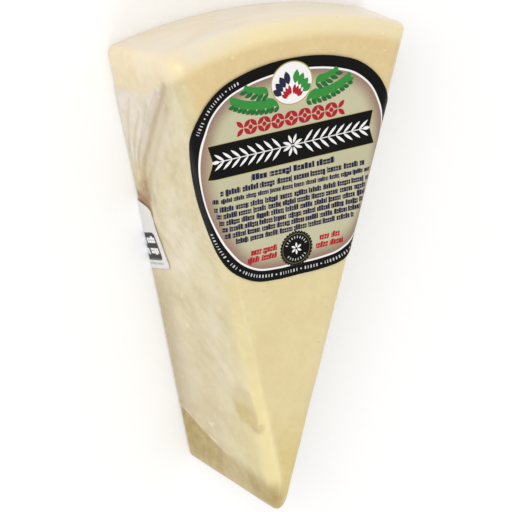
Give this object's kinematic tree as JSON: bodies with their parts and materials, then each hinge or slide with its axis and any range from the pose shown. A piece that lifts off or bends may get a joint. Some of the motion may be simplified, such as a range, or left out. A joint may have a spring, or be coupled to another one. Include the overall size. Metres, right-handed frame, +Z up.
{
  "type": "wrapped parmesan wedge",
  "caption": "Retail wedge of hard cheese in tight clear wrap, with a dome-topped front label and a sticker folded round its lower edge; lies on its plain cut face.",
  "frame": {"origin": "on the resting plane, under the middle of the box of the wedge", "axes": "+Z up out of the labelled face, +Y from the point towards the rind, +X to the right as seen with the rind at the top"},
  "size_m": [0.0816, 0.1428, 0.0385],
  "materials": {
    "cheese": "pale straw cheese under tight clear film",
    "label": "satin coated paper, black rim and cream field",
    "sticker": "satin white paper"
  },
  "bodies": {
    "root": {"wrapped_cheese": "cheese", "front_label": "label", "back_sticker": "sticker"}
  },
  "joints": []
}
